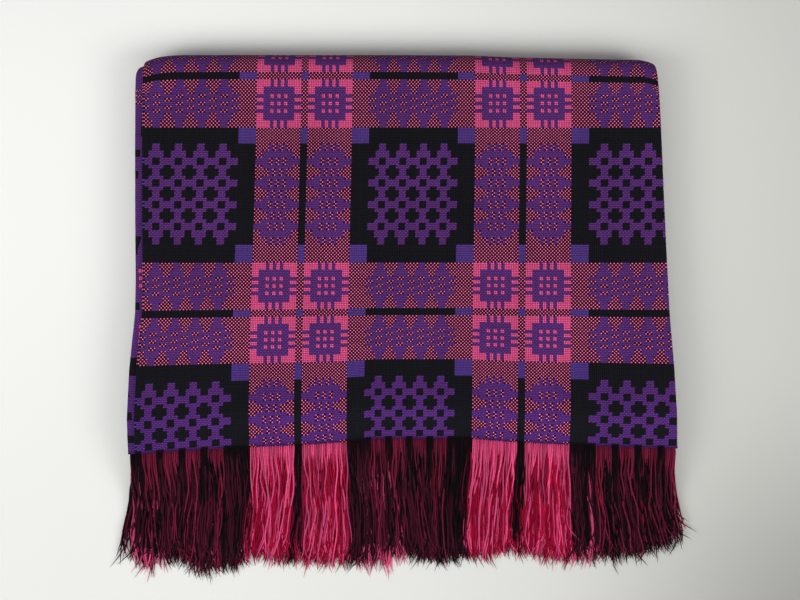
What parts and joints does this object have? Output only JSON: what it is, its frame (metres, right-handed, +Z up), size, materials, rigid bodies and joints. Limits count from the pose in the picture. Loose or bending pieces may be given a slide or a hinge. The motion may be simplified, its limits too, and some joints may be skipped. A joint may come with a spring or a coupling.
{
  "type": "folded welsh tapestry blanket",
  "caption": "Thick double-woven wool throw, folded in three across and in four along its length, with loose yarn fringes lying at the front.",
  "frame": {"origin": "middle of the footprint, on the surface that the pile lies on", "axes": "+Z up, -Y towards the fringe, +X to the right as seen from the fringe side"},
  "size_m": [0.5568, 0.5086, 0.0358],
  "materials": {
    "woven_wool": "matt double-woven wool in purple, black and pink",
    "fringe_wool": "loose matt wool yarn in pink, crimson and black"
  },
  "bodies": {
    "root": {"cloth": "woven_wool", "fringe_upper": "fringe_wool", "fringe_lower": "fringe_wool"}
  },
  "joints": []
}
